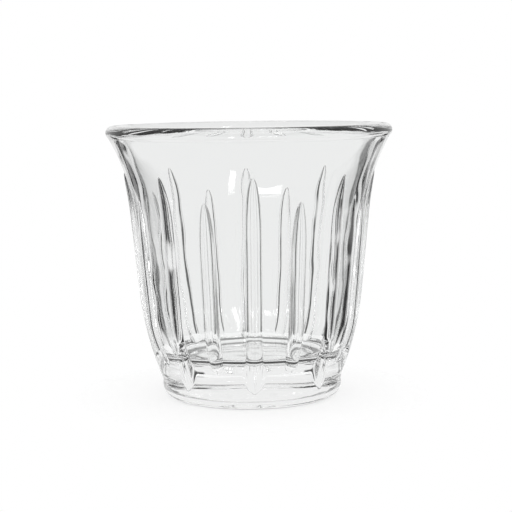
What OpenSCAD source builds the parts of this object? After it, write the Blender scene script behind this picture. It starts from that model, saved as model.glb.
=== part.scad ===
// Pressed cortado glass: a clear tumbler with a plain round foot, a tapered
// wall, a flared lip with a round bead along its rim, and a ring of raised
// lancet ribs, long and short in turn. The long ribs run down the side of the foot,
// and the short ribs end where the foot begins.
// It stands on z = 0 with its axis on z, and one long rib faces -y.

/* [Overall size] */
// Height from the table to the top of the rim
height = 76.4; // [66:0.1:90]
// Outside diameter across the rim, the widest place
rim_d = 80; // [68:0.5:96]

/* [Wall and lip] */
// Thickness of the glass in the wall and in the lip
wall_t = 3.5; // [2.6:0.1:4.2]
// How far the rim reaches out past the top of the straight wall
flare_reach = 7.8; // [6.6:0.1:9]
// How far below the rim the wall starts to flare
flare_drop = 26; // [22:0.2:30]
// How much the radius of the straight wall shrinks from its top to its bottom
wall_taper = 2.5; // [1.5:0.1:3.5]
// Height of the bottom of the straight part of the wall
waist_h = 25; // [21:0.5:29]
// How far below the rim the plain lip takes over from the ribbed wall
lip_drop = 9.8; // [7:0.1:11]

/* [Rim] */
// How far the rim bead stands proud of the lip on each side
bead_proud = 0.15; // [0.1:0.05:0.4]
// Height of the rim bead, from its seat on the lip to its top
bead_h = 2.8; // [2.4:0.1:3.4]

/* [Foot and floor] */
// How far the foot is set in from the bottom of the straight wall
foot_inset = 4.4; // [3.4:0.1:5.4]
// Height of the solid foot below the bowl
foot_h = 10.4; // [8:0.2:13]
// Height of the foot's straight side, above which it widens
ankle_h = 9.5; // [8.8:0.1:10.2]
// Radius of the hollow curve that leads from the foot's side into the belly
ankle_r = 5; // [4:0.1:6.5]
// Radius of the rounded bottom edge
foot_edge_r = 3.5; // [2.5:0.1:4.2]
// Width of the ring that the glass stands on, round the hollow in its underside
ring_w = 6.3; // [4:0.1:9]
// Depth of the hollow in the underside
hollow_depth = 0.8; // [0.4:0.1:1.5]
// Thickness of the bowl's floor on top of the foot
floor_t = 2.2; // [1.6:0.1:4]
// Radius of the corner between the floor and the wall inside
floor_corner_r = 5; // [3.6:0.1:6.4]

/* [Ribs] */
// Number of long ribs, with a short rib between each two
rib_pairs = 8; // [6:1:9]
// Diameter of the round rod that a rib is the outer part of
rib_rod_d = 4.8; // [4:0.1:5.6]
// How far a rib stands proud of the straight wall
rib_rise = 1.3; // [0.9:0.1:1.7]
// How far above the straight wall's bottom a long rib starts to bend in towards the foot
long_bend_rise = 5; // [3:0.1:7]
// Height on the foot at which a long rib runs out
long_tail_h = 4.9; // [3.6:0.1:6.6]
// How far above the straight wall's bottom a short rib starts to bend in, or below it if negative
short_bend_rise = -1; // [-2:0.1:2]
// Height at which a short rib runs out, near the top of the foot
short_tail_h = 10; // [9:0.1:10.4]
// How far below the rim the tip of a long rib lies
long_tip_drop = 11.8; // [11:0.1:15]
// Height of the sweep in which a long rib runs out to its tip
long_sweep = 14.6; // [11:0.2:18]
// How far below the rim the tip of a short rib lies
short_tip_drop = 18.4; // [16:0.1:22]
// Height of the sweep in which a short rib runs out to its tip
short_sweep = 14; // [11:0.2:18]

/* [Hidden] */
$fn = 180;
// Facets in a full turn of a rib's bends, which are short arcs of large circles
bend_fn = 1440;
// Facets round a rib's rod
rod_fn = 60;
// Cuts run past the faces that they open by this much
overrun = 1;
// A rib's rod runs on inside the glass by this share of its diameter
rod_sink_share = 0.5;
// A sweep bows by at least this share of its length
least_bow_share = 0.02;

// Radii, from the rim in to the foot
flare_r = rim_d / 2 - flare_reach;
waist_r = flare_r - wall_taper;
foot_r = waist_r - foot_inset;
hollow_r = foot_r - ring_w;

// Heights that follow the rim or the foot
flare_h = height - flare_drop;
lip_h = height - lip_drop;
seat_h = height - bead_h;
floor_h = foot_h + floor_t;

// Straight wall: its lean from the vertical, and the unit direction out of it
lean = atan((flare_r - waist_r) / (flare_h - waist_h));
out = [cos(lean), -sin(lean)];
waist = [waist_r, waist_h];
flare = [flare_r, flare_h];

// Arc that leaves point a square to direction n and passes through point b
function arc_bow(a, b, n) = (b - a) * n;
function arc_radius(a, b, n) =
    let (d = b - a, bow = abs(arc_bow(a, b, n)))
    (d * d) / (2 * max(bow, least_bow_share * norm(d)));
function arc_angle(a, b, r) = 2 * asin(norm(b - a) / (2 * r));

// Belly and ankle: a full arc that leaves the straight wall and runs into a hollow arc
// that ends on the foot's straight side
ankle = [foot_r + ankle_r, ankle_h];
to_ankle = ankle - waist;
belly_r = (to_ankle * to_ankle - ankle_r * ankle_r) / (2 * (ankle_r - to_ankle * out));
belly = waist - belly_r * out;
// Height at which one arc runs into the other
joint_h = ankle_h + (belly[1] - ankle_h) * ankle_r / (ankle_r + belly_r);

// Rim bead, and the flare arc whose middle line runs into the bead's centre
bead_r = wall_t / 2 + bead_proud;
bead = [rim_d / 2 - bead_r, height - bead_r];
to_bead = bead - flare;
lip_r = (to_bead * to_bead - wall_t * wall_t / 4) / (2 * (to_bead * out) + wall_t);
lip = flare + lip_r * out;
bead_angle = atan2(bead[1] - lip[1], bead[0] - lip[0]);

// Outside radius of the flared wall at height z
function flared_r(z) = lip[0] - sqrt(lip_r * lip_r - (z - lip[1]) * (z - lip[1]));

// Inside: the same three stretches, one wall thickness in
flare_in = flare - wall_t * out;
belly_in_r = belly_r - wall_t;
corner_h = floor_h + floor_corner_r;
corner_reach = belly_in_r - floor_corner_r;
corner_x = belly[0] + sqrt(corner_reach * corner_reach - (corner_h - belly[1]) * (corner_h - belly[1]));
corner = [corner_x, corner_h];
// Height at which the floor corner runs into the belly
corner_top_h = belly[1] + (corner_h - belly[1]) * belly_in_r / corner_reach;

// Ribs: the line of the crest, which bends in at both ends of its straight run
rod_r = rib_rod_d / 2;
rod_sink = rod_sink_share * rib_rod_d;
pitch = 360 / rib_pairs;
front = -90;
function wall_at(h) = waist + (h - waist_h) / cos(lean) * [sin(lean), cos(lean)];
function crest_at(h) = wall_at(h) + rib_rise * out;

// Part of a half plane between two heights, from the axis or beyond it
module band(low, high, reach, inner = 0) {
    translate([inner, low]) square([reach - inner, high - low]);
}

module disc_at(centre, r) {
    translate(centre) circle(r);
}

// Half section of the foot's straight side, rounded along its bottom edge
module foot_section() {
    edge = [foot_r - foot_edge_r, foot_edge_r];
    band(0, foot_edge_r, edge[0]);
    intersection() {
        disc_at(edge, foot_edge_r);
        band(0, foot_edge_r, foot_r, edge[0]);
    }
    band(foot_edge_r, ankle_h, foot_r);
}

// Half section of the ankle and the belly with no bowl in it, from the foot to the straight wall
module belly_section() {
    difference() {
        band(ankle_h, joint_h, ankle[0]);
        disc_at(ankle, ankle_r);
    }
    intersection() {
        disc_at(belly, belly_r);
        band(joint_h, waist_h, rim_d);
    }
}

// Half section of the wall with no bowl in it, from the belly to a height in the flare
module wall_section(high) {
    polygon([[0, waist_h], waist, flare, [0, flare_h]]);
    difference() {
        band(flare_h, high, lip[0]);
        disc_at(lip, lip_r);
    }
}

// Half section of the space inside the belly, from the floor to a little past the straight wall's bottom
module belly_space() {
    band(floor_h, corner_top_h, corner_x, -overrun);
    intersection() {
        disc_at(corner, floor_corner_r);
        band(floor_h, corner_top_h, rim_d, corner_x);
    }
    intersection() {
        disc_at(belly, belly_in_r);
        band(corner_top_h, waist_h + overrun, rim_d, -overrun);
    }
}

// Half section of the space inside the wall, from a little below the wall's bottom to a height in the flare
module wall_space(high) {
    low_in = wall_at(waist_h - overrun) - wall_t * out;
    polygon([[-overrun, low_in[1]], low_in, flare_in, [-overrun, flare_in[1]]]);
    difference() {
        band(flare_in[1], high, lip[0], -overrun);
        disc_at(lip, lip_r + wall_t);
    }
}

// Half section of the flare's band of glass, up to the line through the bead's centre
module flare_band() {
    intersection() {
        difference() {
            disc_at(lip, lip_r + wall_t);
            disc_at(lip, lip_r);
        }
        translate(lip) rotate(bead_angle) square([lip_r + rim_d, lip_r + rim_d]);
    }
}

// Round rod that starts along +z at the origin and bends towards -x
module bent_rod(r, angle) {
    translate([-r, 0, 0])
        rotate([90, 0, 0])
        rotate_extrude(angle = angle, $fn = bend_fn)
        translate([r, 0])
        circle(rod_r, $fn = rod_fn);
}

// Whole rod of one rib, partly sunk in the wall: its bent foot, its straight run and its tip
module rib_rod(tip_h, sweep, bend, tail) {
    bend_r = arc_radius(bend, tail, out);
    bend_angle = arc_angle(bend, tail, bend_r) + rod_sink / bend_r * 180 / PI;
    start = crest_at(tip_h - sweep);
    tip = [flared_r(tip_h), tip_h];
    run = norm(start - bend);
    r = arc_radius(start, tip, out);
    angle = arc_angle(start, tip, r) + rod_sink / r * 180 / PI;

    mirror([0, 0, 1]) bent_rod(bend_r - rod_r, bend_angle);
    cylinder(r = rod_r, h = run, $fn = rod_fn);
    translate([0, 0, run])
        if (arc_bow(start, tip, out) > 0)
            mirror([1, 0, 0]) bent_rod(r + rod_r, angle);
        else
            bent_rod(r - rod_r, angle);
}

// What stands out of the wall and the foot of one rib, turned to its place
module rib(tip_h, sweep, bend_h, tail_h, turn) {
    bend = crest_at(bend_h);
    rod_foot = bend - rod_r * out;
    rotate([0, 0, front + turn])
        difference() {
            translate([rod_foot[0], 0, rod_foot[1]])
                rotate([0, lean, 0])
                rib_rod(tip_h, sweep, bend, [foot_r, tail_h]);
            rotate_extrude() {
                band(-overrun, ankle_h, foot_r);
                belly_section();
                wall_section(seat_h);
            }
        }
}

// Half section of the foot's side and the belly between two heights
module lower_section(low, high) {
    intersection() {
        union() {
            foot_section();
            belly_section();
        }
        band(low, high, rim_d);
    }
}

module foot() {
    color("gainsboro")
        difference() {
            rotate_extrude() lower_section(-overrun, foot_h);
            translate([0, 0, -overrun]) cylinder(r = hollow_r, h = hollow_depth + overrun);
        }
}

module bowl_belly() {
    color("gainsboro")
        rotate_extrude()
        difference() {
            lower_section(foot_h, waist_h);
            belly_space();
        }
}

module bowl_wall() {
    color("whitesmoke")
        rotate_extrude()
        difference() {
            wall_section(lip_h);
            wall_space(lip_h + overrun);
        }
}

module flared_lip() {
    color("whitesmoke")
        rotate_extrude()
        intersection() {
            flare_band();
            band(lip_h, seat_h, rim_d);
        }
}

module rim_bead() {
    color("white")
        rotate_extrude()
        intersection() {
            union() {
                flare_band();
                disc_at(bead, bead_r);
            }
            band(seat_h, height + overrun, rim_d);
        }
}

module long_rib(i) {
    turn = (i - 1) * pitch;
    color("white") rib(height - long_tip_drop, long_sweep, waist_h + long_bend_rise, long_tail_h, turn);
}

module short_rib(i) {
    turn = (i - 1 / 2) * pitch;
    color("white") rib(height - short_tip_drop, short_sweep, waist_h + short_bend_rise, short_tail_h, turn);
}

foot();
bowl_belly();
bowl_wall();
flared_lip();
rim_bead();
for (i = [1:rib_pairs]) long_rib(i);
for (i = [1:rib_pairs]) short_rib(i);
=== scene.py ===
# %% [markdown]
# # A pressed cortado glass
# The glass is one clear pressing: a thick foot, a tapered bowl with long and short
# lancet ribs in turn, a flared lip and a round bead along the rim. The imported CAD
# model gives the frame, so the sizes that its boxes hold are read from it, and the
# script only adds the finer sizes that a mould maker would give.

# %% Load the frame
import math
from typing import NamedTuple

import bpy
import numpy as np
from mathutils import Matrix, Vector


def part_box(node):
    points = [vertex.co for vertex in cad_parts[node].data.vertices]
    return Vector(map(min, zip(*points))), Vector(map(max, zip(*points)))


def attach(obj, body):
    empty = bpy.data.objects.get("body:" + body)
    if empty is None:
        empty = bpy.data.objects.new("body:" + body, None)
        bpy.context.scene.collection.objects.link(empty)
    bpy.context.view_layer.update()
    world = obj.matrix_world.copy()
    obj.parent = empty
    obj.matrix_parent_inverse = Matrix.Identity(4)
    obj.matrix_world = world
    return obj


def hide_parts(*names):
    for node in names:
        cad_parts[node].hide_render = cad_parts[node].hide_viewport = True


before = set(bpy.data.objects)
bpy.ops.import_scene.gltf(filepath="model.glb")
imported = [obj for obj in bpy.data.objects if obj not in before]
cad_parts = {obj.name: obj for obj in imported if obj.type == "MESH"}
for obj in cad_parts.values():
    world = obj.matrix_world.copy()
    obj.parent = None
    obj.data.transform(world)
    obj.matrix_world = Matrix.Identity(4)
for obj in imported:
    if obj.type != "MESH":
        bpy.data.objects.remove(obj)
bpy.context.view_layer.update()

# %% [markdown]
# ## Sizes
# The boxes of the CAD nodes give the rim, the foot's height, the waist and the ends of the
# ribs. The wall's thickness, the flare and the foot's width and curves are in no box, so
# they are named here. All of them are in metres.

# %% Read the sizes
rim_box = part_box("rim_bead")
foot_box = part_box("foot")
belly_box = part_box("bowl_belly")

HEIGHT = rim_box[1].z
RIM_R = rim_box[1].x
FOOT_H = foot_box[1].z
WAIST_R = belly_box[1].x
WAIST_H = belly_box[1].z

FOOT_INSET = 0.0044
ANKLE_H = 0.0095
ANKLE_R = 0.005
WALL_T = 0.0035
FLARE_REACH = 0.0078
FLARE_DROP = 0.026

FOOT_R = WAIST_R - FOOT_INSET
FLARE_R = RIM_R - FLARE_REACH
FLARE_H = HEIGHT - FLARE_DROP
print(f"rim {2 * RIM_R:.4f}, height {HEIGHT:.4f}, foot {2 * FOOT_R:.4f}")

# %% [markdown]
# ## The wall's half section
# A turned shape is a line that is swept around an axis. The line of the outside is a
# short run of plain curves: the straight side of the foot, a hollow arc at the ankle, a
# full arc at the belly, a straight wall and the arc of the flare. Each curve runs into
# the next without a corner, because a corner in glass shows as a hard bright line. The
# inside follows one wall thickness in, so its arcs share the same centres.

# %% Centres of the arcs
LEAN = math.atan2(FLARE_R - WAIST_R, FLARE_H - WAIST_H)
ALONG = np.array([math.sin(LEAN), math.cos(LEAN)])
OUT = np.array([math.cos(LEAN), -math.sin(LEAN)])
WAIST = np.array([WAIST_R, WAIST_H])
FLARE = np.array([FLARE_R, FLARE_H])

ANKLE = np.array([FOOT_R + ANKLE_R, ANKLE_H])
to_ankle = ANKLE - WAIST
BELLY_R = (to_ankle @ to_ankle - ANKLE_R**2) / (2 * (ANKLE_R - to_ankle @ OUT))
BELLY = WAIST - BELLY_R * OUT
JOINT_H = ANKLE_H + (BELLY[1] - ANKLE_H) * ANKLE_R / (ANKLE_R + BELLY_R)

BEAD_PROUD = 0.00015
BEAD_R = WALL_T / 2 + BEAD_PROUD
BEAD = np.array([RIM_R - BEAD_R, HEIGHT - BEAD_R])
to_bead = BEAD - FLARE
LIP_R = (to_bead @ to_bead - WALL_T**2 / 4) / (2 * (to_bead @ OUT) + WALL_T)
LIP = FLARE + LIP_R * OUT
print(f"belly radius {BELLY_R:.4f}, flare radius {LIP_R:.4f}")


# %% Radius of the plain outside
def wall_radius(z):
    """Outside radius with no ribs at a height: foot, ankle arc, belly arc, line or flare arc."""
    ankle = ANKLE[0] - np.sqrt(np.maximum(ANKLE_R**2 - (z - ANKLE_H) ** 2, 0))
    belly = BELLY[0] + np.sqrt(np.maximum(BELLY_R**2 - (z - BELLY[1]) ** 2, 0))
    line = WAIST_R + (z - WAIST_H) * math.tan(LEAN)
    flare = LIP[0] - np.sqrt(LIP_R**2 - (z - LIP[1]) ** 2)
    zones = [z < ANKLE_H, z < JOINT_H, z < WAIST_H, z < FLARE_H]
    return np.select(zones, [FOOT_R + 0 * z, ankle, belly, line], flare)


print("radius at the waist and the flare:", wall_radius(np.array([WAIST_H, FLARE_H])))

# %% [markdown]
# ## How a rib runs along the wall
# In the mould a rib is a groove that a round cutter leaves. It has one depth along the
# straight wall and runs out to a lancet point near the lip. At its lower end the cutter's
# path bends in: a long rib sinks into the side of the foot, and a short rib ends where the
# foot begins. A sharp end of glass would chip, so the ends are slightly blunt.

# %% The two kinds of rib
RIB_PAIRS = 8
RIB_BACK_R = 0.0024
RIB_RISE = 0.0013
BLUNT = 0.0012
LONG_SWEEP = 0.0146
LONG_BEND_UP = 0.005
SHORT_SWEEP = 0.014
SHORT_BEND_DOWN = 0.001


class Rib(NamedTuple):
    """One kind of rib: the heights of its tip, bend and tail, and the length of its tip's sweep."""

    tip_h: float
    sweep: float
    bend_h: float
    tail_h: float


long_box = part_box("long_rib_1")
short_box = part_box("short_rib_1")
LONG = Rib(long_box[1].z - BLUNT, LONG_SWEEP, WAIST_H + LONG_BEND_UP, long_box[0].z)
SHORT = Rib(short_box[1].z - BLUNT, SHORT_SWEEP, WAIST_H - SHORT_BEND_DOWN, short_box[0].z)
print(f"long ribs from {LONG.tail_h:.4f} to {LONG.tip_h:.4f}")
print(f"short ribs from {SHORT.tail_h:.4f} to {SHORT.tip_h:.4f}")

# %% Rise and size of a rib by height
TAIL_SOFT = 0.0002
POINT_SHARE = 0.07


def rib_size(z, rib):
    """Share of the full section at a height: one below the sweep, then a quarter ellipse to the tip."""
    part = np.clip((rib.tip_h - z) / rib.sweep, 0, 1)
    return np.maximum(np.sqrt(part * (2 - part)), POINT_SHARE)


def rib_rise(z, rib):
    """Rise of the crest over the wall: an arc below the bend, then constant, then less to the tip."""
    bend = WAIST + (rib.bend_h - WAIST_H) / math.cos(LEAN) * ALONG + RIB_RISE * OUT
    to_tail = np.array([FOOT_R, rib.tail_h]) - bend
    bend_r = (to_tail @ to_tail) / (2 * abs(to_tail @ OUT))
    centre = bend - bend_r * OUT
    on_arc = centre[0] + np.sqrt(np.maximum(bend_r**2 - (z - centre[1]) ** 2, 0))
    on_line = bend[0] + (z - bend[1]) * math.tan(LEAN)
    over = np.where(z < bend[1], on_arc, on_line) - wall_radius(z)
    fading = np.clip(over + TAIL_SOFT, 0, None) ** 2 / (4 * TAIL_SOFT)
    low_end = np.where(over < TAIL_SOFT, fading, over)
    high_end = RIB_RISE / math.cos(LEAN) * rib_size(z, rib)
    return np.where(z < max(WAIST_H, bend[1]), low_end, high_end)


print("rise of a long rib at its tail and bend:", rib_rise(np.array([LONG.tail_h, LONG.bend_h]), LONG))

# %% [markdown]
# ## The section of a rib
# Seen from above, half a rib is three arcs: its round back, a small fillet in the corner
# and the wall. The fillet is the circle that touches both of the others. A boolean would
# leave a rough seam that glass shows at once, so the section is worked out instead: for
# an angle from the crest it gives the radius and the direction in which the face looks.

# %% Arcs of the section
RIB_FILLET_R = 0.00035
TAIL_FILLET_R = 0.002
SOFT_H = 0.0135


def smooth_step(value):
    """Three squares less two cubes of a value between zero and one: a rise with level ends."""
    part = np.clip(value, 0, 1)
    return part * part * (3 - 2 * part)


def rib_arcs(z, rib, least_rise=0.0):
    """Wall radius, centre and radius of the back, fillet radius and, by the cosine rule, its angle."""
    size = rib_size(z, rib)
    wall = wall_radius(z)
    rise = np.maximum(rib_rise(z, rib), least_rise)
    back = RIB_BACK_R * size
    soft = smooth_step((SOFT_H - z) / (SOFT_H - ANKLE_H))
    fillet = (RIB_FILLET_R + (TAIL_FILLET_R - RIB_FILLET_R) * soft) * size
    middle = wall + rise - back
    away = wall + fillet
    cosine = (away**2 + middle**2 - (back + fillet) ** 2) / (2 * away * middle)
    return wall, middle, back, fillet, np.arccos(np.clip(cosine, -1, 1))


def rib_face(angle, arcs):
    """Radius at an angle from the crest, and the direction of the face there, on the three arcs."""
    wall, middle, back, fillet, reach = arcs
    away = wall + fillet
    fillet_x, fillet_y = away * np.cos(reach), away * np.sin(reach)
    turn = np.arctan2(fillet_y, fillet_x - middle)
    back_end = np.arctan2(back * np.sin(turn), middle + back * np.cos(turn))
    aside = reach - angle
    on_back = middle * np.cos(angle) + np.sqrt(np.maximum(back**2 - (middle * np.sin(angle)) ** 2, 0))
    on_fillet = away * np.cos(aside) - np.sqrt(np.maximum(fillet**2 - (away * np.sin(aside)) ** 2, 0))
    zones = [angle <= back_end, angle < reach]
    radius = np.select(zones, [on_back, on_fillet], wall)
    x, y = radius * np.cos(angle), radius * np.sin(angle)
    faces = [np.arctan2(y, x - middle), np.arctan2(fillet_y - y, fillet_x - x)]
    return radius, np.select(zones, faces, angle)


crest = rib_face(np.zeros(1), rib_arcs(np.array([WAIST_H]), LONG))[0]
print("radius of a long rib's crest at the waist:", crest)

# %% [markdown]
# ## Columns that follow the ribs
# The mesh needs most of its columns where the face turns fast, on the back and in the
# fillet. Each row spreads its columns over the three arcs. Past the ends of a rib they
# drift back to equal steps, so that no face is a needle.

# %% Angles of the columns
BACK_STEPS = 8
FILLET_STEPS = 5
GROOVE_STEPS = 5
HALF_PITCH = math.pi / (2 * RIB_PAIRS)
LEAST_RISE = 0.00012
DRIFT = 0.004
EVEN = HALF_PITCH * np.linspace(0, 1, BACK_STEPS + FILLET_STEPS + GROOVE_STEPS + 1)


def rib_columns(z, rib):
    """Angles from the crest to the middle of the groove: equal steps on each of the arcs."""
    wall, middle, back, fillet, reach = rib_arcs(z, rib, LEAST_RISE)
    away = wall + fillet
    turn = np.arctan2(away * np.sin(reach), away * np.cos(reach) - middle)
    turns = turn * np.linspace(0, 1, BACK_STEPS + 1)
    on_back = np.arctan2(back * np.sin(turns), middle + back * np.cos(turns))
    last = on_back[:, -1:]
    on_fillet = last + (reach - last) * np.linspace(0, 1, FILLET_STEPS + 1)[1:]
    in_groove = reach + (HALF_PITCH - reach) * np.linspace(0, 1, GROOVE_STEPS + 1)[1:]
    angles = np.concatenate([on_back, on_fillet, in_groove], axis=1)
    past = np.maximum(z - rib.tip_h, rib.tail_h - z) / DRIFT
    return angles + (EVEN - angles) * smooth_step(past)


print("columns from a crest to the middle of the groove:", len(EVEN))

# %% [markdown]
# ## The underside
# A glass never stands on a full flat face, because it would rock on a grain of sand. A
# shallow hollow leaves a ring to stand on. The hollow's depth and width can't be seen in
# the photo, so they are a guess at what such glasses have. Corners get a small round.

# %% Rows of the underside
FOOT_EDGE_R = 0.0035
RING_W = 0.0063
HOLLOW_DEPTH = 0.0008
HOLLOW_R = FOOT_R - RING_W
STEP_ROUND = 0.0003
STEP_ROWS = 4
EDGE_ROWS = 8
# Shares of the way from the axis to the end of the hollow's flat face
HOLLOW_ROWS = np.array([0.4, 0.8])


def arc(centre, radius, start, end, steps):
    """Points on a circle: the centre plus the radius along each angle from start to end."""
    angle = np.linspace(start, end, steps + 1)
    return centre + radius * np.stack([np.cos(angle), np.sin(angle)], axis=-1)


def flat_rows(end, shares):
    """Points on a flat face: the end's height, and shares of the end's radius."""
    return end * np.stack([shares, np.ones_like(shares)], axis=-1)


def underside():
    """Rows from the middle out: the hollow, its rounded step, the ring and the rounded edge."""
    hollow_end = np.array([HOLLOW_R - STEP_ROUND, HOLLOW_DEPTH])
    hollow = flat_rows(hollow_end, HOLLOW_ROWS)
    top = arc(hollow_end - [0, STEP_ROUND], STEP_ROUND, math.pi / 2, 0, STEP_ROWS)
    low_c = np.array([HOLLOW_R + STEP_ROUND, STEP_ROUND])
    low = arc(low_c, STEP_ROUND, math.pi, 1.5 * math.pi, STEP_ROWS)
    edge_c = np.array([FOOT_R - FOOT_EDGE_R, FOOT_EDGE_R])
    edge = arc(edge_c, FOOT_EDGE_R, -math.pi / 2, 0, EDGE_ROWS)
    ring = (low[-1:] + edge[:1]) / 2
    return np.concatenate([hollow, top, low, ring, edge])


print("rows of the underside:", len(underside()))

# %% [markdown]
# ## The rim
# The bead is fire-polished: the rim is melted until it draws itself round. Its section is
# most of a circle, and the same melting leaves a small fillet on both sides where it runs
# into the lip. Each fillet is the circle that touches the lip's arc and the bead.

# %% Rows of the rim
RIM_FILLET_R = 0.0006
RIM_FILLET_ROWS = 4
BEAD_ROWS = 20


def rim_fillet(away):
    """Angle and centre, by the cosine rule, of the fillet circle that far from the lip's centre."""
    far = LIP_R + WALL_T / 2
    reach = BEAD_R + RIM_FILLET_R
    turn = math.acos((far**2 + away**2 - reach**2) / (2 * far * away))
    angle = math.atan2(BEAD[1] - LIP[1], BEAD[0] - LIP[0]) + turn
    return angle, LIP + away * np.array([math.cos(angle), math.sin(angle)])


def facing(start, end):
    """Angle of the direction from one point to another."""
    return math.atan2(end[1] - start[1], end[0] - start[0])


OUTER_ANGLE, OUTER_C = rim_fillet(LIP_R - RIM_FILLET_R)
INNER_ANGLE, INNER_C = rim_fillet(LIP_R + WALL_T + RIM_FILLET_R)
LIP_END_H = LIP[1] + LIP_R * math.sin(OUTER_ANGLE)


def rim():
    """Rows from the outside of the lip over the bead to its inside, with a fillet on both sides."""
    outer = arc(OUTER_C, RIM_FILLET_R, OUTER_ANGLE, facing(OUTER_C, BEAD), RIM_FILLET_ROWS)
    bead = arc(BEAD, BEAD_R, facing(BEAD, OUTER_C), facing(BEAD, INNER_C), BEAD_ROWS)
    inner = arc(INNER_C, RIM_FILLET_R, facing(INNER_C, BEAD), INNER_ANGLE - math.pi, RIM_FILLET_ROWS)
    return np.concatenate([outer, bead[1:], inner[1:]])


print("rows of the rim:", len(rim()))

# %% [markdown]
# ## The inside
# The plunger that presses the glass is a plain turned shape, so the inside has no ribs.
# It runs down the flare, the straight wall and the belly, turns in a round corner and
# ends in a flat floor on top of the solid foot.

# %% Rows of the inside
FLOOR_T = 0.0022
FLOOR_CORNER_R = 0.005
FLOOR_H = FOOT_H + FLOOR_T
FLARE_ROWS = 11
WALL_ROWS = 3
BELLY_ROWS = 7
CORNER_ROWS = 7
# Shares of the way from the axis to the end of the flat floor
FLOOR_ROWS = np.array([0.75, 0.35])


def inside():
    """Rows from the lip down: flare, wall, belly, floor corner and floor."""
    corner_h = FLOOR_H + FLOOR_CORNER_R
    reach = BELLY_R - WALL_T - FLOOR_CORNER_R
    corner = np.array([BELLY[0] + math.sqrt(reach**2 - (corner_h - BELLY[1]) ** 2), corner_h])
    turn = facing(BELLY, corner)
    flare = arc(LIP, LIP_R + WALL_T, INNER_ANGLE, math.pi - LEAN, FLARE_ROWS)
    wall = np.linspace(FLARE - WALL_T * OUT, WAIST - WALL_T * OUT, WALL_ROWS + 1)
    belly = arc(BELLY, BELLY_R - WALL_T, -LEAN, turn, BELLY_ROWS)
    bend = arc(corner, FLOOR_CORNER_R, turn, -math.pi / 2, CORNER_ROWS)
    floor = flat_rows(bend[-1], FLOOR_ROWS)
    return np.concatenate([flare[1:], wall[1:], belly[1:], bend[1:], floor])


print("rows of the inside:", len(inside()))

# %% [markdown]
# ## One closed skin of glass
# Light bends at every face of glass, so the whole pressing has to be one closed skin with
# no inner walls. The rows run from the middle of the underside, out over the foot, up the
# outside, over the rim and down the inside to the middle of the floor. Only the rows of
# the outside carry ribs.

# %% Rows of the outside
TIP_RUN = 0.0008
TIP_PAST = 0.0004
# Pairs of a height and the number of equal steps that lead up to it
ROW_STEPS = (
    (LONG.tail_h - TIP_RUN, 2),
    (ANKLE_H, 11),
    (JOINT_H, 9),
    (SHORT.bend_h, 9),
    (LONG.bend_h, 4),
    (SHORT.tip_h - SHORT.sweep, 3),
    (SHORT.tip_h - TIP_RUN, 16),
    (SHORT.tip_h + TIP_PAST, 6),
    (LONG.tip_h - TIP_RUN, 6),
    (LONG.tip_h + TIP_PAST, 6),
    (LIP_END_H, 6),
)


def outside_heights():
    """Heights of the outside rows: equal steps between the heights where the shape changes."""
    starts = [FOOT_EDGE_R] + [height for height, steps in ROW_STEPS]
    ends = zip(starts, ROW_STEPS)
    runs = [np.linspace(start, end, steps + 1)[1:] for start, (end, steps) in ends]
    return np.concatenate(runs)[:-1]


print("rows of the outside:", len(outside_heights()))

# %% One pair of ribs
END_FADE = 0.0003
HALF = len(EVEN)
# Columns in the four halves of a pair: long rib, short rib backwards, short rib, long rib backwards.
# A column that two halves share is counted once
COUNTS = [HALF, HALF - 1, HALF - 1, HALF - 2]
SIDE = np.repeat([1, -1, 1, -1], COUNTS)
CREST = 2 * HALF_PITCH * np.repeat([0, 1, 1, 2], COUNTS)


def half_rib(z, rib):
    """Angle, radius and direction of the face over half a rib, faded into the wall at its tip."""
    angle = rib_columns(z, rib)
    arcs = rib_arcs(z, rib)
    radius, face = rib_face(angle, arcs)
    share = 1 - smooth_step((z - rib.tip_h + END_FADE) / END_FADE)
    return angle, arcs[0] + (radius - arcs[0]) * share, angle + (face - angle) * share


def rib_pair(long, short):
    """Values over one long and one short rib: four halves, every second one run backwards."""
    return np.concatenate([long, short[:, -2::-1], short[:, 1:], long[:, -2:0:-1]], axis=1)


print("columns of a pair of ribs:", sum(COUNTS))

# %% All rows of the skin
FRONT = -math.pi / 2


def around(pair, step=0.0):
    """A run of columns for one pair of ribs, repeated around the axis in equal steps."""
    turns = step * np.arange(RIB_PAIRS)
    return (turns[None, :, None] + pair[:, None, :]).reshape(len(pair), -1)


def around_crests(long, short):
    """Angles over all the ribs: the angle of each crest plus or minus the angle from it."""
    return FRONT + around(CREST + SIDE * rib_pair(long, short), 4 * HALF_PITCH)


def ribbed_rows():
    """Angle, radius, height and direction of the face for the rows of the outside."""
    z = outside_heights()[:, None]
    long, short = half_rib(z, LONG), half_rib(z, SHORT)
    angle = around_crests(long[0], short[0])
    radius = around(rib_pair(long[1], short[1]))
    return angle, radius, z + 0 * radius, around_crests(long[2], short[2])


def plain_rows(profile):
    """The same four values for the rows of a turned profile, with equal columns."""
    even = EVEN + 0 * profile[:, :1]
    angle = around_crests(even, even)
    return angle, profile[:, :1] + 0 * angle, profile[:, 1:] + 0 * angle, angle


# %% [markdown]
# ## Points and directions
# A lens needs true directions as well as true points. The direction of each face is the
# cross product of the line along its row and the line up its column, and both are known
# here. Blender's own averages would show fine streaks in the glass.

# %% Points and normals
parts = zip(plain_rows(underside()), ribbed_rows(), plain_rows(rim()), plain_rows(inside()))
angle, radius, height, face = (np.concatenate(part) for part in parts)
points = np.stack([radius * np.cos(angle), radius * np.sin(angle), height], axis=-1)

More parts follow.
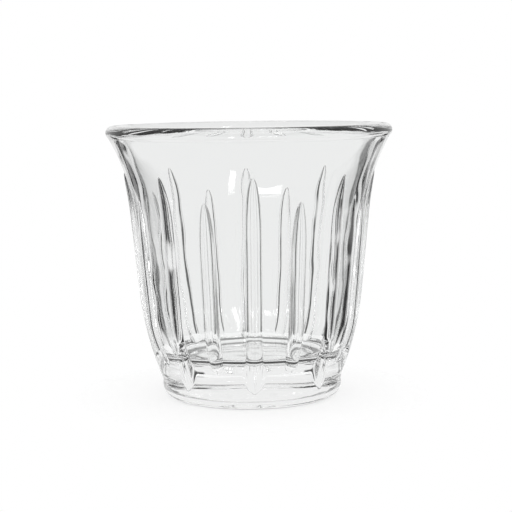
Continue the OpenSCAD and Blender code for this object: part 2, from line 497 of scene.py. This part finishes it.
run = np.linalg.norm(np.diff(points, axis=0), axis=-1).mean(axis=1)
upward = np.gradient(points, np.concatenate([[0], np.cumsum(run)]), axis=0)
across = np.stack([-np.sin(face), np.cos(face), 0 * face], axis=-1)
normals = np.cross(across, upward)
normals /= np.linalg.norm(normals, axis=-1, keepdims=True)
print("grid of the skin:", points.shape[0], "rows and", points.shape[1], "columns")


# %% Make the mesh
def closed_skin(points, normals, name):
    """A mesh from a grid whose columns close into rings and whose two ends close in a point."""
    rows, columns = points.shape[:2]
    index = np.arange(rows * columns).reshape(rows, columns)
    right = np.roll(index, -1, axis=1)
    quads = np.stack([index[:-1], right[:-1], right[1:], index[1:]], axis=-1).reshape(-1, 4)
    below = np.full(columns, rows * columns)
    low_cap = np.stack([below, right[0], index[0]], axis=-1)
    high_cap = np.stack([below + 1, index[-1], right[-1]], axis=-1)
    ends = np.array([[0, 0, points[0, 0, 2]], [0, 0, points[-1, 0, 2]]])
    end_normals = np.array([[0, 0, -1], [0, 0, 1]])
    mesh = bpy.data.meshes.new(name)
    vertices = np.concatenate([points.reshape(-1, 3), ends])
    mesh.from_pydata(vertices.tolist(), [], quads.tolist() + low_cap.tolist() + high_cap.tolist())
    mesh.polygons.foreach_set("use_smooth", np.ones(len(mesh.polygons), dtype=bool))
    mesh.update()
    directions = np.concatenate([normals.reshape(-1, 3), end_normals])
    mesh.normals_split_custom_set_from_vertices(directions.tolist())
    skin = bpy.data.objects.new(name, mesh)
    bpy.context.scene.collection.objects.link(skin)
    return skin


glass = closed_skin(points, normals, "pressed_glass")
triangles = sum(len(polygon.vertices) - 2 for polygon in glass.data.polygons)
print("glass:", len(glass.data.vertices), "points,", triangles, "triangles")

# %% [markdown]
# ## Clear glass
# The glass is colourless soda-lime glass, so nearly all light passes. Pressed glass isn't
# perfectly smooth: the mould leaves a faint ripple that makes the lines in it waver. It is
# far too shallow to be a shape, so it is a bump from a noise in the object's own space.

# %% Material of the glass
CLEAR = (0.985, 0.99, 0.988, 1.0)
GLASS_IOR = 1.51
RIPPLE_SCALE = 70.0
RIPPLE_DETAIL = 1.0
RIPPLE_STRENGTH = 1.0
RIPPLE_DEPTH = 0.0003


def clear_glass():
    """Clear glass: full transmission, no roughness, and a faint slow ripple in its face."""
    material = bpy.data.materials.new("clear_glass")
    material.use_nodes = True
    nodes, links = material.node_tree.nodes, material.node_tree.links
    shader = nodes["Principled BSDF"]
    shader.inputs["Base Color"].default_value = CLEAR
    shader.inputs["Roughness"].default_value = 0.0
    shader.inputs["IOR"].default_value = GLASS_IOR
    shader.inputs["Transmission Weight"].default_value = 1.0
    place = nodes.new("ShaderNodeTexCoord")
    ripple = nodes.new("ShaderNodeTexNoise")
    ripple.inputs["Scale"].default_value = RIPPLE_SCALE
    ripple.inputs["Detail"].default_value = RIPPLE_DETAIL
    bump = nodes.new("ShaderNodeBump")
    bump.inputs["Strength"].default_value = RIPPLE_STRENGTH
    bump.inputs["Distance"].default_value = RIPPLE_DEPTH
    links.new(place.outputs["Object"], ripple.inputs["Vector"])
    links.new(ripple.outputs["Fac"], bump.inputs["Height"])
    links.new(bump.outputs["Normal"], shader.inputs["Normal"])
    return material


glass.data.materials.append(clear_glass())
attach(glass, "root")
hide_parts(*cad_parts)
print("the skin stands for", len(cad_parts), "CAD nodes")

# %% [markdown]
# ## The floor
# The photo has a white floor that runs into a white background, with only a faint shadow.
# A round sheet of paper does it: it takes light, so it keeps the shadow, and it glows
# just enough to reach white where it is seen. Under the ring that the glass stands on, a
# painted shadow darkens the paper's colour and glow, as no light gets under that ring. Seen
# through the foot, it becomes the line along the floor of the bowl. A few small helpers keep the node
# trees short.

# %% Helpers for nodes
# A Mix node has sockets for numbers, vectors and colours: these are the ones for colours
MIX_SHARE = 0
MIX_LOW = 6
MIX_HIGH = 7
MIX_RESULT = 2


def grey(level):
    """A colour with one level for red, green and blue."""
    return (level, level, level, 1)


def feed(tree, value, socket):
    """Gives an input its value: a link from another node, or a plain number or colour."""
    if isinstance(value, bpy.types.NodeSocket):
        tree.links.new(value, socket)
    else:
        socket.default_value = value


def math_node(tree, operation, *values):
    """The result of a Math node."""
    node = tree.nodes.new("ShaderNodeMath")
    node.operation = operation
    for socket, value in zip(node.inputs, values):
        feed(tree, value, socket)
    return node.outputs[0]


def colour_mix(tree, kind, share, low, high):
    """The result of a Mix node: low where the share is zero, blended with high where it is one."""
    node = tree.nodes.new("ShaderNodeMix")
    node.data_type = "RGBA"
    node.blend_type = kind
    feed(tree, share, node.inputs[MIX_SHARE])
    feed(tree, low, node.inputs[MIX_LOW])
    feed(tree, high, node.inputs[MIX_HIGH])
    return node.outputs[MIX_RESULT]


def spread(tree, value, low, high):
    """Zero below the low end of a range, one above its high end, and a straight line between."""
    node = tree.nodes.new("ShaderNodeMapRange")
    node.inputs["From Min"].default_value = low
    node.inputs["From Max"].default_value = high
    tree.links.new(value, node.inputs["Value"])
    return node.outputs["Result"]


# %% Kinds of rays
def ray(tree, name):
    """What the Light Path node says about a ray, such as whether it comes from the camera."""
    return tree.nodes.new("ShaderNodeLightPath").outputs[name]


def met_glass(tree):
    """One for rays that a face of glass has mirrored or let through, zero for all others."""
    return math_node(tree, "MAXIMUM", ray(tree, "Is Glossy Ray"), ray(tree, "Is Transmission Ray"))


# %% Painted shade under the foot
# Sizes of the painted shadow ring under the foot, and how far it darkens the paper
SHADE_R = 0.0222
SHADE_HOLE_R = 0.0172
SHADE_HOLE_BACK = 0.0015
SHADE_SOFT = 0.0008
SHADE_DEPTH = 0.97


def past_circle(tree, place, back, radius):
    """Rises from zero to one where the distance from a point on the y axis passes a radius."""
    away = tree.nodes.new("ShaderNodeVectorMath")
    away.operation = "DISTANCE"
    away.inputs[1].default_value = (0, back, 0)
    tree.links.new(place, away.inputs[0])
    return spread(tree, away.outputs["Value"], radius - SHADE_SOFT, radius + SHADE_SOFT)


def painted_shade_ring(tree):
    """Zero in the painted shadow ring between two circles, one everywhere else."""
    place = tree.nodes.new("ShaderNodeTexCoord").outputs["Object"]
    outside = past_circle(tree, place, 0, SHADE_R)
    past_hole = past_circle(tree, place, SHADE_HOLE_BACK, SHADE_HOLE_R)
    in_hole = math_node(tree, "SUBTRACT", 1.0, past_hole)
    return math_node(tree, "MAXIMUM", outside, in_hole)


# %% Paper disc
FLOOR_R = 0.05
FLOOR_SIDES = 96
PAPER = 0.35
SEEN_GLOW = 0.68
GLASS_GLOW = 0.66


def paper():
    """White paper with a painted shadow ring under the foot, that glows for the camera and slightly
    less through glass.
    """
    material = bpy.data.materials.new("floor_paper")
    material.use_nodes = True
    tree = material.node_tree
    shader = tree.nodes["Principled BSDF"]
    shader.inputs["Roughness"].default_value = 1.0
    shader.inputs["Specular IOR Level"].default_value = 0.0
    through = math_node(tree, "MULTIPLY", met_glass(tree), GLASS_GLOW)
    glow = math_node(tree, "MULTIPLY_ADD", ray(tree, "Is Camera Ray"), SEEN_GLOW, through)
    tree.links.new(glow, shader.inputs["Emission Strength"])
    # The paper's base colour and glow colour are painted dark in a ring under the foot: a painted
    # shadow
    outside_painted_shade = painted_shade_ring(tree)
    for name, level in (("Base Color", PAPER), ("Emission Color", 1)):
        tone = colour_mix(tree, "MIX", outside_painted_shade, grey((1 - SHADE_DEPTH) * level), grey(level))
        tree.links.new(tone, shader.inputs[name])
    return material


turn = np.linspace(0, 2 * math.pi, FLOOR_SIDES + 1)[:-1]
ring = FLOOR_R * np.stack([np.cos(turn), np.sin(turn), 0 * turn], axis=-1)
mesh = bpy.data.meshes.new("floor")
mesh.from_pydata(ring.tolist(), [], [tuple(range(FLOOR_SIDES))])
floor = bpy.data.objects.new("floor", mesh)
floor.data.materials.append(paper())
bpy.context.scene.collection.objects.link(floor)
print("paper disc:", 2 * FLOOR_R, "across")

# %% [markdown]
# ## The studio
# Clear glass shows nothing of its own, only the room around it. The photo's dark lines
# suggest a pale wall behind the glass, dark screens to the sides of it and a dark ground
# below the paper. The wall has one even level and makes the glass pale, the screens draw
# the dark lines where a rib bends the light far aside, and the ground draws the dark line
# along the rim. The world is that room: a grey level that depends on the height over the
# horizon and on the angle from behind. Only light that a face of the glass has mirrored
# meets the dark ground, so that the glass stays clear when it is seen from above.

# %% Levels of the room
WALL_LEVEL = 0.86
# Two pairs of screens. Each has pairs of an angle from straight behind, in degrees, and the share
# of light that is left there, then pairs of a height over the horizon and the screen's share there
SCREENS = (
    (
        ((0, 1), (22.5, 1), (24, 0.02), (33, 0.02), (34.5, 1), (180, 1)),
        ((-90, 0), (-38, 0), (-32, 1), (-7, 1), (-5, 0), (90, 0)),
    ),
    (
        ((0, 1), (41, 1), (43, 0.02), (80, 0.02), (84, 1), (180, 1)),
        ((-90, 0), (-26, 0), (-23, 1), (-12, 1), (-10, 0), (90, 0)),
    ),
)
# Pairs of a height over the horizon, in degrees, and the share of the dark ground there
GROUND = ((-90, 1), (-66, 1), (-60, 0), (90, 0))
GROUND_LEVEL = 0.03
print("pairs of screens:", len(SCREENS))

# %% Directions in the room
world = bpy.data.worlds.new("studio")
bpy.context.scene.world = world
world.use_nodes = True
studio = world.node_tree
place = studio.nodes.new("ShaderNodeTexCoord")
split = studio.nodes.new("ShaderNodeSeparateXYZ")
studio.links.new(place.outputs["Generated"], split.inputs[0])
round_axis = math_node(studio, "ARCTAN2", split.outputs["X"], split.outputs["Y"])
aside = math_node(studio, "ABSOLUTE", round_axis)
rise = math_node(studio, "ARCSINE", split.outputs["Z"])


def by_angle(angle, pairs):
    """A grey level that follows pairs of an angle in degrees and a level, in straight lines."""
    low, high = pairs[0][0], pairs[-1][0]
    ramp = studio.nodes.new("ShaderNodeValToRGB")
    share = spread(studio, angle, math.radians(low), math.radians(high))
    studio.links.new(share, ramp.inputs["Fac"])
    stops = ramp.color_ramp.elements
    stops.remove(stops[-1])
    for number, (degrees, level) in enumerate(pairs):
        stop = stops.new((degrees - low) / (high - low)) if number else stops[0]
        stop.color = grey(level)
    return ramp.outputs["Color"]


# %% Wall, screens and ground
room = grey(WALL_LEVEL)
for by_side, by_height in SCREENS:
    room = colour_mix(studio, "MULTIPLY", by_angle(rise, by_height), room, by_angle(aside, by_side))

mirrored = math_node(studio, "MINIMUM", ray(studio, "Glossy Depth"), 1.0)
below = math_node(studio, "MULTIPLY", mirrored, by_angle(rise, GROUND))
room = colour_mix(studio, "MULTIPLY", below, room, grey(GROUND_LEVEL))

light = colour_mix(studio, "MIX", met_glass(studio), grey(1), room)
studio.links.new(light, studio.nodes["Background"].inputs["Color"])
print("nodes of the studio:", len(studio.nodes))

# %% [markdown]
# ## Two softboxes
# Two softboxes stand behind the camera, to the right and to the left of it. The back of
# the bowl is a hollow mirror, so each of them shows there as a small white patch, like a
# window. Their light is weak, because the white room already lights the floor.

# %% Softboxes
BOX_FAR = 0.8
# Angle to the right of the camera and height over the horizon, then width and height, in degrees
SOFTBOXES = ((20, 26, 7, 16), (-24, 22, 22, 4))
BOX_LEVEL = 5.0


def box_side(degrees):
    """The length that fills an angle when it is seen from the middle of the glass."""
    return 2 * BOX_FAR * math.tan(math.radians(degrees) / 2)


def softbox(name, right, up, wide, tall):
    """An area lamp that faces the middle of the glass from an angle, with a size in degrees."""
    lamp = bpy.data.lights.new(name, "AREA")
    lamp.shape = "RECTANGLE"
    lamp.size = box_side(wide)
    lamp.size_y = box_side(tall)
    lamp.energy = BOX_LEVEL * math.pi * lamp.size * lamp.size_y
    box = bpy.data.objects.new(name, lamp)
    box.matrix_world = (
        Matrix.Translation((0, 0, HEIGHT / 2))
        @ Matrix.Rotation(math.radians(right), 4, "Z")
        @ Matrix.Rotation(math.pi / 2 - math.radians(up), 4, "X")
        @ Matrix.Translation((0, 0, BOX_FAR))
    )
    box.visible_camera = False
    bpy.context.scene.collection.objects.link(box)
    print(f"{name}: {lamp.size:.3f} by {lamp.size_y:.3f}, {lamp.energy:.3f} W")


for number, angles in enumerate(SOFTBOXES):
    softbox(f"softbox_{number + 1}", *angles)

# %% [markdown]
# ## The camera
# The photo looks slightly down at the glass from close by. Its place, its tilt and its
# lens were fitted to the rim, the foot and the tips of the ribs in the photo.

# %% Camera
SWING = math.radians(-1.6)
PITCH = math.radians(6.43)
ROLL = math.radians(-0.76)
PLACE = (0.00153, -0.4212, 0.0867)
FOCAL_PIXELS = 1500.4
PHOTO_PIXELS = 512
SENSOR = 36.0

camera = bpy.data.objects.new("camera", bpy.data.cameras.new("camera"))
bpy.context.scene.collection.objects.link(camera)
camera.data.sensor_width = SENSOR
camera.data.lens = SENSOR * FOCAL_PIXELS / PHOTO_PIXELS
camera.matrix_world = (
    Matrix.Rotation(SWING, 4, "Z")
    @ Matrix.Translation(PLACE)
    @ Matrix.Rotation(math.pi / 2 - PITCH, 4, "X")
    @ Matrix.Rotation(ROLL, 4, "Z")
)
bpy.context.scene.camera = camera
bpy.context.scene.view_settings.view_transform = "Standard"
print(f"lens of {camera.data.lens:.1f} mm")

# %% [markdown]
# ## How far light is followed
# A ray through two walls of glass meets many faces, so it is followed further than usual.
# Where light is caught in a rib or in the bead by mirror after mirror, real glass turns
# dark, because a little is lost each time. Ending such paths early draws the same lines.

# %% Bounces
PASSES = 32
MIRRORS = 8
cycles = bpy.context.scene.cycles
cycles.max_bounces = PASSES
cycles.transmission_bounces = PASSES
cycles.glossy_bounces = MIRRORS
print("a ray is followed through", PASSES, "faces and", MIRRORS, "mirrors")
